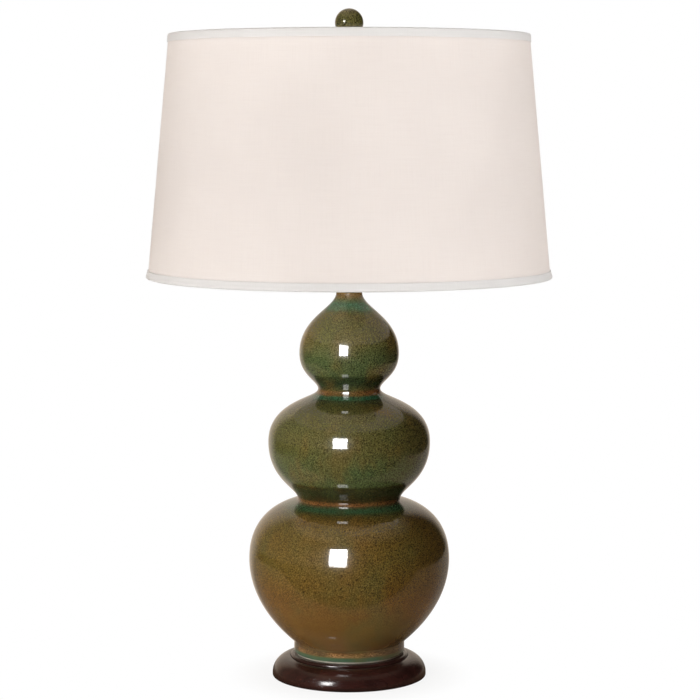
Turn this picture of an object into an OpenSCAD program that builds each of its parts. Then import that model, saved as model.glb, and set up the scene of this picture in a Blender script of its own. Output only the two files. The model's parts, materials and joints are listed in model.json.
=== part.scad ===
// Table lamp. A triple-gourd body in glazed ceramic stands on a turned wood base and carries
// a keyed lamp holder, a wire harp, a hardback shade and a ceramic ball finial.
// Millimetres, +Z up, origin at the middle of the felt's underside. The front faces -Y.

/* [Wood base] */
// Largest diameter of the turned base
base_d = 187.8; // [176:0.2:220]
// Height of the base, from its underside to the seat of the ceramic body
base_h = 27.2; // [25:0.2:34]
// Diameter of the raised seat ring
seat_d = 143; // [138:0.5:150]
// Height of the rounded shoulder, from the underside
shoulder_h = 24; // [19:0.2:24.4]
// Height of the widest line, from the underside
belly_h = 3.2; // [3:0.1:7]
// Rounding of the edge that stands on the table
base_edge_r = 0.9; // [0.6:0.1:2.5]
// Rounding of the seat ring's upper edge
seat_edge_r = 3; // [1:0.5:4]
// Diameter of the hollow for the nut and the lead
recess_d = 100; // [80:1:120]
// Depth of that hollow
recess_depth = 14; // [13.5:0.5:16]
// Thickness of the felt pad
felt_t = 2.5; // [2:0.25:3.5]
// How far the felt stands below the wood
felt_proud = 0.3; // [0.2:0.1:1.5]
// Width of bare wood round the felt
felt_margin = 8; // [5:0.5:14]

/* [Lead outlet] */
// Diameter of the hole through the outlet bush
outlet_bore_d = 6.4; // [5:0.1:7]
// Wall of the bush's barrel
outlet_wall = 1.3; // [1:0.1:1.8]
// Length of the bush's barrel
outlet_len = 12; // [8:0.5:16]
// Diameter of the bush's flange
outlet_flange_d = 13; // [11.6:0.1:14]
// Thickness of the bush's flange
outlet_flange_t = 1.5; // [1:0.25:2.5]
// Height of the outlet above the wood's underside
outlet_h = 9; // [8.5:0.25:9.5]

/* [Ceramic body] */
// Thickness of the ceramic wall
wall_t = 5.5; // [4:0.25:7]
// Diameter of the foot ring
foot_d = 134.8; // [128:0.2:136]
// Height of the crease above the foot ring
foot_h = 15.9; // [13:0.1:20]
// Rounding of the foot ring's lower edge
foot_edge_r = 4.5; // [2:0.5:6]
// Slope at which the lower lobe meets the foot, from the vertical
foot_slope = 48.5; // [35:1:60]
// Diameter of the lower lobe
low_d = 244; // [220:1:270]
// Rise from the seat to the lower lobe's widest line
low_rise = 117.4; // [105:0.2:130]
// Diameter of the lower waist
low_waist_d = 124.5; // [110:0.5:140]
// Rise from there to the lower waist
low_waist_rise = 73; // [65:0.2:82]
// Diameter of the middle lobe
mid_d = 196.5; // [170:0.5:215]
// Rise from there to the middle lobe's widest line
mid_rise = 70.2; // [62:0.2:78]
// Diameter of the upper waist
top_waist_d = 75.3; // [65:0.1:90]
// Rise from there to the upper waist
top_waist_rise = 64.4; // [57:0.2:72]
// Diameter of the upper lobe
top_d = 120.6; // [105:0.2:135]
// Rise from there to the upper lobe's widest line
top_rise = 43.2; // [38:0.2:48]
// Diameter of the neck
neck_d = 31.3; // [30:0.1:38]
// Rise from there to the narrowest line of the neck
neck_rise = 73.8; // [66:0.2:82]
// Height of the lip above that line
lip_h = 6; // [5:0.5:9]
// Thickness of the lip's roll beyond the neck
lip_r = 1.8; // [1:0.1:2.5]
// Diameter of the hole in the floor
floor_hole_d = 14; // [12:0.5:20]

/* [Lamp pipe] */
// Outside diameter of the pipe
pipe_d = 9.8; // [9:0.1:10.3]
// Wall of the pipe
pipe_wall = 1.7; // [1.2:0.1:2.2]
// Length of pipe that stands out below the nut
pipe_tail = 2; // [0.5:0.5:3]
// Across the flats of the hexagon nut
nut_af = 14.3; // [13.5:0.1:17]
// Thickness of the nut
nut_t = 4.6; // [3:0.2:5]
// Diameter of the flat washer
washer_d = 32; // [22:1:40]
// Thickness of the flat washer
washer_t = 2; // [1:0.25:2.5]
// Thickness of the toothed lock washer
lock_t = 0.9; // [0.6:0.1:1.2]

/* [Neck fittings] */
// Height of the vase cap above the lip
cap_h = 6; // [4:0.5:8]
// Depth of the vase cap's skirt down the lip
cap_skirt = 2.5; // [1.5:0.25:3]
// Thickness of the vase cap's metal
cap_t = 1; // [0.8:0.1:1.4]
// Height of the turned spacer
spacer_h = 10; // [8:0.5:16]
// Diameter of the turned spacer
spacer_d = 17; // [15:0.5:20]

/* [Lamp holder] */
// Outside diameter of the brass shell
shell_d = 33; // [32.4:0.2:36]
// Length of the shell
shell_h = 40; // [37:0.5:44]
// Thickness of the shell's metal
shell_t = 0.5; // [0.4:0.05:0.6]
// Height of the holder's cap
holder_cap_h = 22; // [20:0.5:25]
// Height of the cap's threaded hub
hub_h = 7; // [6:0.5:8]
// Thickness of the fibre liner
liner_card_t = 0.6; // [0.4:0.05:0.8]
// Length of the screw shell that takes the bulb
screw_shell_h = 21; // [18:0.5:22]
// Diameter of the switch knob
knob_d = 12; // [10:0.5:15]
// Length of the switch knob
knob_len = 13; // [10:0.5:16]
// Number of flutes on the knob
knob_flutes = 12; // [8:1:16]
// Distance from the lamp holder's wall to the knob
knob_reach = 6; // [4:0.5:9]

/* [Bulb] */
// Diameter of the glass
bulb_d = 58; // [50:1:60]
// Length from the contact to the top of the glass
bulb_len = 108; // [100:1:125]
// Diameter of the screw cap over its threads
bulb_cap_d = 26.2; // [25.8:0.05:26.4]
// Length of the screw cap's threaded part
bulb_cap_h = 22; // [20:0.5:24]
// Thickness of the glass
glass_t = 0.8; // [0.5:0.1:1.2]

/* [Harp] */
// Height of the harp, from its feet to the middle of its top wire
harp_h = 255; // [245:1:300]
// Width of the harp across the wire's middle
harp_w = 112; // [104:1:124]
// Distance between the harp's feet, middle to middle
saddle_w = 70.5; // [64:0.5:78]
// Diameter of the harp's wire
harp_wire_d = 3.2; // [2.6:0.1:3.6]
// Thickness of the saddle's strip
saddle_t = 1.6; // [1.2:0.1:2]
// Width of the saddle's strip
saddle_strip = 6; // [5:0.25:6.5]
// Rise of the saddle's arms to the harp's feet
saddle_rise = 6; // [4:0.5:9]
// Width of the saddle's upright ears
ear_w = 4.6; // [4:0.1:5]
// Height of the saddle's upright ears
ear_h = 11; // [8:0.5:13]
// Length of a locking sleeve
sleeve_h = 15; // [12:0.5:17]
// Wall of a locking sleeve
sleeve_t = 0.8; // [0.6:0.1:1.2]
// Height of the crown plate above the wire
crown_rise = 3; // [2.6:0.1:4]
// Thickness of the crown plate
crown_t = 1.2; // [1:0.1:1.6]
// Diameter of the threaded stud
stud_d = 6.2; // [5.6:0.1:6.4]
// Height of thread above the stud's collar
stud_h = 12; // [9:0.5:14]
// Thickness of the stud's collar
collar_t = 1.4; // [1:0.1:2]

/* [Shade] */
// Diameter at the shade's upper edge
shade_top_d = 430; // [400:1:440]
// Diameter at the shade's lower edge
shade_bottom_d = 484; // [455:1:500]
// Height of the shade
shade_h = 288.8; // [270:1:295]
// Thickness of the fabric
fabric_t = 0.5; // [0.4:0.05:0.8]
// Thickness of the stiff backing
backing_t = 0.8; // [0.5:0.05:1]
// Diameter of the ring wires
ring_wire_d = 2.6; // [2:0.1:3]
// Height of the edge trims
trim_h = 9; // [7:0.5:12]
// Thickness of the edge trims
trim_t = 0.7; // [0.5:0.05:1]
// How far the lower trim rolls outwards
bottom_roll = 1.4; // [0:0.1:2]
// How far the upper trim rolls outwards
top_roll = 0.3; // [0:0.1:2]
// Depth of the spider's hub below the upper edge
spider_drop = 16; // [12:0.5:20]
// Diameter of the spider's hub
hub_d = 26; // [24:0.5:32]
// Thickness of the spider's hub
hub_t = 1.6; // [1.2:0.1:2]
// Diameter of the spider's arms
arm_d = 2.8; // [2.2:0.1:3]
// Number of spider arms
arm_n = 3; // [3:1:4]

/* [Finial] */
// Diameter of the ceramic ball
ball_d = 34; // [28:0.5:42]
// Height of the brass collar below the ball
finial_neck_h = 13; // [10:0.2:16]
// Diameter of the brass collar where it sits on the spider
finial_base_d = 14; // [12:0.5:16]
// Thread depth inside the finial
finial_thread = 14; // [13:0.5:16]

/* [Hidden] */
$fn = 96;
EPS = 0.01;

// Clearances, all radial or face to face
fit = 0.1;            // between parts that are pushed together by hand
run = 0.05;           // between a turning shaft and its bearing
thread_gap = 0.05;    // between the plain walls that stand for a screwed joint
loose = 0.3;          // between a curved piece and what it lies against
hub_gap = 0.3;        // between the spider's hub and the stud

// Heights of the body's widest and narrowest lines above its seat
low_h = low_rise;
low_waist_h = low_h + low_waist_rise;
mid_h = low_waist_h + mid_rise;
top_waist_h = mid_h + top_waist_rise;
top_h = top_waist_h + top_rise;
neck_h = top_h + neck_rise;
body_h = neck_h + lip_h;

// Levels, from the table upwards
wood_z = felt_proud;
seat_z = wood_z + base_h;
lip_z = seat_z + body_h;
cap_z = lip_z + cap_h;
spacer_z = cap_z + spacer_h;
holder_z = spacer_z + saddle_t;
harp_foot_z = holder_z + saddle_rise;
harp_top_z = harp_foot_z + harp_h;
crown_z = harp_top_z + harp_wire_d / 2 + crown_rise;
collar_z = crown_z + crown_t + run;
hub_z = collar_z + collar_t;
shade_top_z = hub_z + spider_drop;
shade_bottom_z = shade_top_z - shade_h;
finial_z = hub_z + hub_t;
ball_seat_r = finial_base_d / 2 - 1;    // flat that is ground on the ball for the collar
ball_z = finial_z + finial_neck_h + sqrt(pow(ball_d / 2, 2) - pow(ball_seat_r, 2));

// Points on a cubic curve and the direction it runs in
function cubic(p, t) =
    pow(1 - t, 3) * p[0] + 3 * pow(1 - t, 2) * t * p[1] + 3 * (1 - t) * t * t * p[2] + pow(t, 3) * p[3];
function cubic_way(p, t) =
    3 * pow(1 - t, 2) * (p[1] - p[0]) + 6 * (1 - t) * t * (p[2] - p[1]) + 3 * t * t * (p[3] - p[2]);
function unit(v) = v / norm(v);
// Points on an elliptical arc, from angle a0 to a1
function arc(c, rx, ry, a0, a1, n) =
    [for (i = [0:n]) let (a = a0 + (a1 - a0) * i / n) [c[0] + rx * cos(a), c[1] + ry * sin(a)]];
function flip(list) = [for (i = [len(list) - 1:-1:0]) list[i]];

// The gourd's outline. Each station is a widest or narrowest line, [radius, height above the seat].
// A span between two stations leaves both upright, and its two shares of the span's height say
// how long it stays so: a large share makes a full lobe, a small one a tight waist.
STATIONS = [
    [foot_d / 2, foot_h], [low_d / 2, low_h], [low_waist_d / 2, low_waist_h], [mid_d / 2, mid_h],
    [top_waist_d / 2, top_waist_h], [top_d / 2, top_h], [neck_d / 2, neck_h]
];
SHARES = [[0.125, 0.555], [0.905, 0.02], [0.2, 0.66], [0.775, 0.195], [0.225, 0.62], [0.6, 0.255]];
OUTER_STEPS = 32;      // points on each span of the outline, close enough for an even gloss
INNER_STEPS = 14;
INNER_FIRST = 2;       // the inner wall begins at this step, above the foot's crease
function step_ratio(i) = min(max(sqrt(SHARES[i][0] / SHARES[i][1]), 0.45), 2.2);
// How far along span i a share u of its steps has come, so that both ends have steps of like length
function pace(i, u) = u / (u + (1 - u) * step_ratio(i));
function span_controls(i) =
    let (
        a = STATIONS[i],
        b = STATIONS[i + 1],
        h = b[1] - a[1],
        lean = i == 0 ? foot_slope : 0
    )
    [a, a + SHARES[i][0] * h * [sin(lean), cos(lean)], b - [0, SHARES[i][1] * h], b];
function gourd_outer() = [
    for (i = [0:len(SHARES) - 1], k = [0:OUTER_STEPS - 1]) cubic(span_controls(i), pace(i, k / OUTER_STEPS)),
    STATIONS[len(SHARES)]
];
// The inner wall keeps its distance along the normal
function gourd_inner() = [
    for (i = [0:len(SHARES) - 1], k = [(i == 0 ? INNER_FIRST : 0):INNER_STEPS - 1])
        let (
            c = span_controls(i),
            t = pace(i, k / INNER_STEPS),
            w = unit(cubic_way(c, t))
        )
        cubic(c, t) + wall_t * [-w[1], w[0]],
    STATIONS[len(SHARES)] - [wall_t, 0]
];

floor_t = wall_t + 1;
foot_rim = 8;          // width of the ring that the body stands on
foot_hollow = 2.5;     // depth of the hollow inside that ring
floor_slope = 9;       // run of the inner wall's slope down to the floor
heel = 2;              // height of that slope's start above the foot's crease
lip_under = 60;        // angle that the lip's roll turns in under its widest line

module ceramic_body() {
    inner = gourd_inner();
    neck_bore = neck_d / 2 - wall_t;
    outline = concat(
        [[foot_d / 2 - foot_rim, foot_hollow], [foot_d / 2 - foot_rim, 0]],
        arc([foot_d / 2 - foot_edge_r, foot_edge_r], foot_edge_r, foot_edge_r, -90, 0, 8),
        gourd_outer(),
        arc([neck_d / 2, body_h - lip_r], lip_r, lip_r, -lip_under, 90, 10),
        [[neck_bore, body_h]],
        flip(inner),
        [[foot_d / 2 - wall_t, foot_h + heel], [foot_d / 2 - wall_t - floor_slope, floor_t],
         [floor_hole_d / 2, floor_t], [floor_hole_d / 2, foot_hollow]]
    );
    color("#5b5a2c")
        translate([0, 0, seat_z])
            rotate_extrude()
                polygon(outline);
}

// Wood base
crease_w = 0.6;        // the crease between shoulder and seat ring is this wide each way
crease_depth = 1.2;
shoulder_in = seat_d / 2 + crease_w;
outlet_z = wood_z + outlet_h;
outlet_barrel_r = outlet_bore_d / 2 + outlet_wall;
outlet_flat = 5.5;     // depth of the flat spot that the bush's flange sits in
outlet_face_y = base_d / 2 - outlet_flat;
lap = 2;               // how far a cut starts inside the hollow that it opens into

module base_blank() {
    shoulder_r = base_d / 2 - shoulder_in;
    outline = concat(
        [[0, 0]],
        arc([base_d / 2 - base_edge_r, base_edge_r], base_edge_r, base_edge_r, -90, 0, 5),
        arc([shoulder_in, belly_h], shoulder_r, shoulder_h - belly_h, 0, 90, 28),
        [[seat_d / 2 - crease_w, shoulder_h - crease_depth]],
        arc([seat_d / 2 - seat_edge_r, base_h - seat_edge_r], seat_edge_r, seat_edge_r, 0, 90, 8),
        [[0, base_h]]
    );
    rotate_extrude()
        polygon(outline);
}

module wood_base() {
    rebate = felt_t - felt_proud;
    color("#2e1a18")
        difference() {
            translate([0, 0, wood_z])
                base_blank();
            translate([0, 0, wood_z - EPS])
                cylinder(r = base_d / 2 - felt_margin + loose, h = rebate + EPS);
            translate([0, 0, wood_z - EPS])
                cylinder(d = recess_d, h = recess_depth + EPS);
            translate([0, 0, wood_z])
                cylinder(r = pipe_d / 2 + fit, h = base_h + EPS);
            translate([0, 0, outlet_z])
                rotate([-90, 0, 0]) {
                    translate([0, 0, recess_d / 2 - lap])
                        cylinder(r = outlet_barrel_r + fit, h = base_d / 2);
                    translate([0, 0, outlet_face_y])
                        cylinder(r = outlet_flange_d / 2 + loose, h = base_d / 2);
                }
        }
}

module felt_pad() {
    color("#1f3a2c")
        cylinder(r = base_d / 2 - felt_margin, h = felt_t);
}

module outlet_bush() {
    flange_r = outlet_flange_d / 2;
    color("#1c1c1c")
        translate([0, outlet_face_y, outlet_z])
            rotate([-90, 0, 0])
                rotate_extrude()
                    polygon([
                        [outlet_bore_d / 2, -outlet_len], [outlet_barrel_r, -outlet_len],
                        [outlet_barrel_r, 0], [flange_r, 0], [flange_r, outlet_flange_t / 2],
                        [flange_r - outlet_flange_t / 2, outlet_flange_t],
                        [outlet_bore_d / 2, outlet_flange_t]
                    ]);
}

// Pipe and its fastening under the base
ceiling_z = wood_z + recess_depth;
washer_z = ceiling_z - washer_t;
lock_z = washer_z - lock_t;
nut_z = lock_z - nut_t;
pipe_z = nut_z - pipe_tail;
pipe_short = 1;        // how far the pipe's end stays below the top of the cap's hub
pipe_top_z = holder_z + hub_h - pipe_short;

module flat_washer() {
    color("#b9bcc0")
        translate([0, 0, washer_z])
            difference() {
                cylinder(d = washer_d, h = washer_t);
                translate([0, 0, -EPS])
                    cylinder(r = pipe_d / 2 + fit, h = washer_t + 2 * EPS);
            }
}

module lock_washer() {
    teeth = 10;
    tooth = 2;
    rim = 2.4;
    ring_r = pipe_d / 2 + rim;
    color("#a4a7ab")
        translate([0, 0, lock_z])
            difference() {
                union() {
                    cylinder(r = ring_r, h = lock_t);
                    for (i = [0:teeth - 1])
                        rotate([0, 0, i * 360 / teeth])
                            translate([ring_r - tooth / 4, -tooth / 2, 0])
                                cube([tooth, tooth, lock_t]);
                }
                translate([0, 0, -EPS])
                    cylinder(r = pipe_d / 2 + fit, h = lock_t + 2 * EPS);
            }
}

module hex_nut() {
    color("#c2a25a")
        translate([0, 0, nut_z])
            difference() {
                cylinder(d = nut_af / cos(30), h = nut_t, $fn = 6);
                translate([0, 0, -EPS])
                    cylinder(r = pipe_d / 2 + thread_gap, h = nut_t + 2 * EPS);
            }
}

module lamp_pipe() {
    length = pipe_top_z - pipe_z;
    color("#b7b19a")
        translate([0, 0, pipe_z])
            difference() {
                cylinder(d = pipe_d, h = length);
                translate([0, 0, -EPS])
                    cylinder(r = pipe_d / 2 - pipe_wall, h = length + 2 * EPS);
            }
}

// Neck fittings
cap_r = neck_d / 2 + lip_r + cap_t + loose;

module vase_cap() {
    plug_r = neck_d / 2 - wall_t - loose;
    plug_h = 5;
    brim = 0.6;
    seat_r = spacer_d / 2 + 1.5;
    bore = pipe_d / 2 + fit;
    edge_r = cap_r - cap_t;
    color("#b08d46")
        translate([0, 0, lip_z])
            rotate_extrude()
                polygon(concat(
                    [[bore, -plug_h], [plug_r, -plug_h], [plug_r, 0], [edge_r, 0],
                     [edge_r, -cap_skirt], [cap_r, -cap_skirt]],
                    arc([edge_r, brim], cap_t, cap_t, 0, 90, 5),
                    arc([edge_r, cap_h], edge_r - seat_r, cap_h - cap_t - brim, -90, -170, 8),
                    [[seat_r, cap_h], [bore, cap_h]]
                ));
}

module neck_spacer() {
    bore = pipe_d / 2 + fit;
    bead = 1.2;
    ledge = 0.3;
    waist = 1.3;
    core_r = spacer_d / 2 - bead;
    color("#b89550")
        translate([0, 0, cap_z])
            rotate_extrude()
                polygon(concat(
                    [[bore, 0]],
                    arc([core_r, bead], bead, bead, -90, 90, 8),
                    arc([core_r, spacer_h / 2], waist, spacer_h / 2 - 2 * bead - ledge, 270, 90, 10),
                    arc([core_r, spacer_h - bead], bead, bead, -90, 90, 8),
                    [[bore, spacer_h]]
                ));
}

// Saddle that carries the harp: a strip whose arms rise to two level feet. The harp's wire stands
// on the foot, against an upright ear, and the sleeve that drops over both stands on it too.
ear_out = saddle_w / 2 - harp_wire_d / 2 - loose;      // the ear's outer face
ear_in = ear_out - saddle_t;
foot_ledge = 2.4;      // how far the foot stands out beyond the wire
foot_end = saddle_w / 2 + harp_wire_d / 2 + foot_ledge;
foot_lap = 3;          // and how far it reaches inwards beyond the ear
foot_top = harp_foot_z - loose;
saddle_disc_r = 10.5;

module saddle_arm() {
    flat_x = saddle_disc_r + 0.5;
    foot_in = ear_in - foot_lap;
    slope = atan2(foot_top - saddle_t - spacer_z, foot_in - flat_x);
    bend = saddle_t * tan(slope / 2);
    translate([0, saddle_strip / 2, 0])
        rotate([90, 0, 0])
            linear_extrude(height = saddle_strip)
                polygon([
                    [0, spacer_z], [flat_x, spacer_z], [foot_in, foot_top - saddle_t],
                    [foot_end, foot_top - saddle_t], [foot_end, foot_top],
                    [foot_in - bend, foot_top], [flat_x - bend, spacer_z + saddle_t],
                    [0, spacer_z + saddle_t]
                ]);
    translate([ear_in, -ear_w / 2, foot_top - saddle_t / 2])
        cube([saddle_t, ear_w, ear_h + saddle_t / 2]);
}

module harp_saddle() {
    color("#c0a060")
        difference() {
            union() {
                saddle_arm();
                mirror([1, 0, 0])
                    saddle_arm();
                translate([0, 0, spacer_z])
                    cylinder(r = saddle_disc_r, h = saddle_t);
            }
            translate([0, 0, spacer_z - EPS])
                cylinder(r = pipe_d / 2 + fit, h = saddle_t + 2 * EPS);
        }
}

// Lamp holder
shell_lap = 6;         // how far the shell goes down into the cap
shell_z = holder_z + holder_cap_h - shell_lap;
shell_top_z = shell_z + shell_h;
shell_in = shell_d / 2 - shell_t;
cap_wall = 0.8;
cap_rim_r = shell_d / 2 + fit + cap_wall;
switch_rise = 7;       // height of the switch's shaft above the cap's rim
switch_z = holder_z + holder_cap_h + switch_rise;
screw_shell_sunk = 1;  // how far the screw shell's rim lies below the brass shell's
screw_shell_z = shell_top_z - screw_shell_sunk - screw_shell_h;
bulb_gap = 0.25;       // between the bulb's cap and the screw shell
screw_shell_in = bulb_cap_d / 2 + bulb_gap;
screw_shell_t = 0.4;
liner_in = shell_in - fit - liner_card_t;
switch_body_r = liner_in - fit;
shaft_r = 1.6;
shaft_window = 1;      // clear width round the shaft where it leaves the shell
screw_r = 1.5;
screw_len = 5;

// A cheese head with its slot, resting on z = 0
module screw_head(r, h) {
    slot_w = 0.7;
    difference() {
        cylinder(r = r, h = h);
        translate([-2 * r, -slot_w / 2, h / 2])
            cube([4 * r, slot_w, h]);
    }
}

module holder_cap() {
    cap_hub_r = 8;
    hub_edge = 0.6;
    straight = 5;
    bead = 0.5;
    bore = pipe_d / 2 + thread_gap;
    rise = holder_cap_h - hub_h - straight;
    color("#c2a052")
        translate([0, 0, holder_z])
            difference() {
                rotate_extrude()
                    polygon(concat(
                        [[bore, 0], [cap_hub_r - hub_edge, 0], [cap_hub_r, hub_edge]],
                        arc([cap_hub_r, hub_h - cap_wall + rise],
                            cap_rim_r - cap_hub_r, rise, -90, 0, 12),
                        [[cap_rim_r, holder_cap_h - 2 * bead], [cap_rim_r + bead, holder_cap_h - bead],
                         [cap_rim_r, holder_cap_h], [cap_rim_r - cap_wall, holder_cap_h]],
                        arc([cap_hub_r, hub_h + rise],
                            cap_rim_r - cap_hub_r - cap_wall, rise, 0, -90, 12),
                        [[bore, hub_h]]
                    ));
                translate([0, 0, hub_h / 2])
                    rotate([90, 0, 0])
                        cylinder(r = screw_r, h = 2 * cap_hub_r);
            }
}

module set_screw() {
    color("#8f9296")
        translate([0, 0, holder_z + hub_h / 2])
            rotate([90, 0, 0])
                translate([0, 0, pipe_d / 2 + thread_gap]) {
                    cylinder(r = screw_r - thread_gap, h = screw_len);
                    translate([0, 0, screw_len])
                        screw_head(screw_r * 1.6, screw_r);
                }
}

module shaft_cut() {
    translate([0, 0, switch_z])
        rotate([90, 0, 0])
            cylinder(r = shaft_r + shaft_window, h = shell_d);
}

module holder_shell() {
    bead = 0.6;
    bead_low = 3.4;
    bead_high = 1;
    color("#c8a75a")
        difference() {
            translate([0, 0, shell_z])
                rotate_extrude()
                    polygon([
                        [shell_in, 0], [shell_d / 2, 0], [shell_d / 2, shell_h - bead_low],
                        [shell_d / 2 + bead, shell_h - bead_low + bead],
                        [shell_d / 2 + bead, shell_h - bead_high],
                        [shell_d / 2, shell_h], [shell_in, shell_h]
                    ]);
            shaft_cut();
        }
}

module fibre_liner() {
    sunk = 2;
    color("#7a6a52")
        difference() {
            translate([0, 0, shell_z + fit])
                difference() {
                    cylinder(r = shell_in - fit, h = shell_h - sunk);
                    translate([0, 0, -EPS])
                        cylinder(r = liner_in, h = shell_h);
                }
            shaft_cut();
        }
}

switch_body_z = shell_z + fit;
switch_body_h = screw_shell_z - switch_body_z;
terminal_r = 2.6;
terminal_pocket = 2.8;     // depth of the flat that a terminal screw sits in
terminal_pocket_h = 9;

module switch_body() {
    neck = 3;
    color("#26221f")
        difference() {
            translate([0, 0, switch_body_z])
                union() {
                    cylinder(r = switch_body_r, h = switch_body_h - neck);
                    cylinder(r = screw_shell_in - 1, h = switch_body_h);
                }
            translate([0, 0, switch_z])
                rotate([90, 0, 0])
                    cylinder(r = shaft_r + run, h = shell_d);
            for (s = [-1, 1])
                translate([s * switch_body_r, 0, switch_body_z + terminal_pocket_h / 2 - EPS])
                    cube([2 * terminal_pocket, 3 * terminal_r, terminal_pocket_h], center = true);
        }
}

module terminal_screws() {
    color("#c9b06a")
        for (s = [-1, 1])
            translate([s * (switch_body_r - terminal_pocket), 0, switch_body_z + terminal_pocket_h / 2])
                rotate([0, s * 90, 0])
                    screw_head(terminal_r, terminal_pocket / 2);
}

// The rolled thread is drawn as plain rounded rings
function rings(r, depth, z0, pitch, n, steps) = [
    for (i = [0:n * steps]) [r + depth * (1 - cos(360 * i / steps)) / 2, z0 + pitch * i / steps]
];
thread_pitch = 3.6;
thread_depth = 0.7;

module screw_shell() {
    plain = 4;
    start = 1;
    hole_r = 6;
    turns = floor((screw_shell_h - plain) / thread_pitch);
    tip = screw_shell_in + screw_shell_t;
    outer = rings(tip, thread_depth, start, thread_pitch, turns, 6);
    inner = rings(screw_shell_in, thread_depth, start, thread_pitch, turns, 6);
    color("#c9ccd0")
        translate([0, 0, screw_shell_z])
            rotate_extrude()
                polygon(concat(
                    [[hole_r, 0], [tip, 0]],
                    outer,
                    [[tip, screw_shell_h], [screw_shell_in, screw_shell_h]],
                    flip(inner), [[screw_shell_in, screw_shell_t], [hole_r, screw_shell_t]]
                ));
}

bulb_stand = 3;        // from the screw shell's floor to the bulb's contact, screwed home
bulb_z = screw_shell_z + bulb_stand;

// A leaf of brass that slopes up to the bulb's contact
module centre_contact() {
    leaf_w = 5;
    half = 4.5;
    leaf_t = 0.5;
    toe = 1.5;
    rise = bulb_stand - leaf_t - loose;
    color("#d0a94e")
        translate([-leaf_w / 2, 0, screw_shell_z])
            rotate([90, 0, 90])
                linear_extrude(height = leaf_w)
                    polygon([
                        [-half, 0], [leaf_t - half, 0], [half - toe, rise], [half, rise],
                        [half, rise + leaf_t], [half - toe, rise + leaf_t], [-half, leaf_t]
                    ]);
}

// Switch: a brass shaft with a fluted knob, turning about -Y
knob_y = shell_d / 2 + knob_reach;

module switch_shaft() {
    inner_y = 5;
    flange = 1.2;
    color("#c9a95c")
        translate([0, 0, switch_z])
            rotate([90, 0, 0]) {
                translate([0, 0, inner_y])
                    cylinder(r = shaft_r, h = knob_y - inner_y);
                translate([0, 0, shell_d / 2 + loose])
                    cylinder(r = shaft_r + flange, h = flange);
            }
}

module switch_knob() {
    r = knob_d / 2;
    back_edge = 1.2;
    front_edge = 2.5;
    skirt = 2;
    flute_r = PI * knob_d / knob_flutes / 4;
    color("#1a1816")
        translate([0, -knob_y, switch_z])
            rotate([90, 0, 0])
                difference() {
                    rotate_extrude()
                        polygon(concat(
                            [[0, 0], [r - back_edge, 0], [r, back_edge]],
                            arc([r - front_edge, knob_len - front_edge], front_edge, front_edge, 0, 90, 6),
                            [[0, knob_len]]
                        ));
                    for (i = [0:knob_flutes - 1])
                        rotate([0, 0, i * 360 / knob_flutes])
                            translate([r + flute_r / 2, 0, skirt])
                                cylinder(r = flute_r, h = knob_len);
                }
}

// Bulb
insulator_h = 3;
contact_h = 1;
bulb_cap_r = bulb_cap_d / 2 - thread_depth;
insulator_r = bulb_cap_r - 2;
glass_z = insulator_h + bulb_cap_h;
glass_neck_r = bulb_cap_r - 0.4;
glass_sunk = 4;        // depth of the glass in its cap

// The glass outline, from the neck in the cap to the crown
function glass_points(grow) =
    let (
        r = bulb_d / 2 + grow,
        centre = bulb_len - bulb_d / 2,
        low = -25,
        neck = [glass_neck_r + grow, glass_z + glass_sunk],
        side = [r * cos(low), centre + r * sin(low)],
        pull = bulb_d / 4
    )
    concat(
        [[glass_neck_r + grow, glass_z - glass_sunk]],
        [for (k = [0:8])
            cubic([neck, neck + [0, pull], side + pull * [sin(low), -cos(low)], side], k / 8)],
        [for (k = [1:12]) let (a = low + (90 - low) * k / 12) [max(0, r * cos(a)), centre + r * sin(a)]]
    );

module bulb_glass() {
    color("#f4f1ea")
        translate([0, 0, bulb_z])
            rotate_extrude()
                polygon(concat(glass_points(0), flip(glass_points(-glass_t))));
}

module bulb_cap() {
    plain = 5;
    turns = floor((bulb_cap_h - plain) / thread_pitch);
    socket_r = glass_neck_r + fit;
    socket_z = bulb_cap_h - glass_sunk - fit;
    color("#c8cbd0")
        translate([0, 0, bulb_z + insulator_h])
            rotate_extrude()
                polygon(concat(
                    [[0, 0], [insulator_r, 0]],
                    rings(bulb_cap_r, thread_depth, 1, thread_pitch, turns, 6),
                    [[bulb_cap_r, bulb_cap_h], [socket_r, bulb_cap_h],
                     [socket_r, socket_z], [0, socket_z]]
                ));
}

contact_r = 4.4;

module bulb_insulator() {
    h = insulator_h - contact_h;
    color("#20201f")
        translate([0, 0, bulb_z + contact_h])
            cylinder(r1 = contact_r + 0.5, r2 = insulator_r, h = h);
}

module bulb_contact() {
    flat = 1.8;
    color("#b4b6ba")
        translate([0, 0, bulb_z])
            rotate_extrude()
                polygon(concat(
                    [[0, 0]],
                    arc([flat, contact_h], contact_r - flat, contact_h, -90, 0, 5),
                    [[0, contact_h]]
                ));
}

// Harp. From a foot the wire runs up, bows out, runs up the side, and turns in over the top.
bend_low = 50;
bend_side = 225;
bend_top = 32;
side_over = 22;   // how far the side leans in before the top bend, in degrees
lean_out = acos(1 - (harp_w - saddle_w) / 2 / (bend_low + bend_side));
leg_h = harp_h - (bend_low + bend_side) * sin(lean_out) - bend_side * sin(side_over)
    - bend_top * (1 - sin(side_over));
side_z = leg_h + (bend_low + bend_side) * sin(lean_out);
shoulder_x = harp_w / 2 - bend_side * (1 - cos(side_over));
shoulder_z = side_z + bend_side * sin(side_over);
top_x = shoulder_x - bend_top * cos(side_over);

// A bend of the wire in the XZ plane, about a centre, between two angles
module wire_bend(centre, radius, a0, a1) {
    translate([centre[0], 0, centre[1]])
        rotate([90, 0, 0])
            rotate([0, 0, a0])
                rotate_extrude(angle = a1 - a0)
                    translate([radius, 0])
                        circle(d = harp_wire_d);
}

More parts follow.
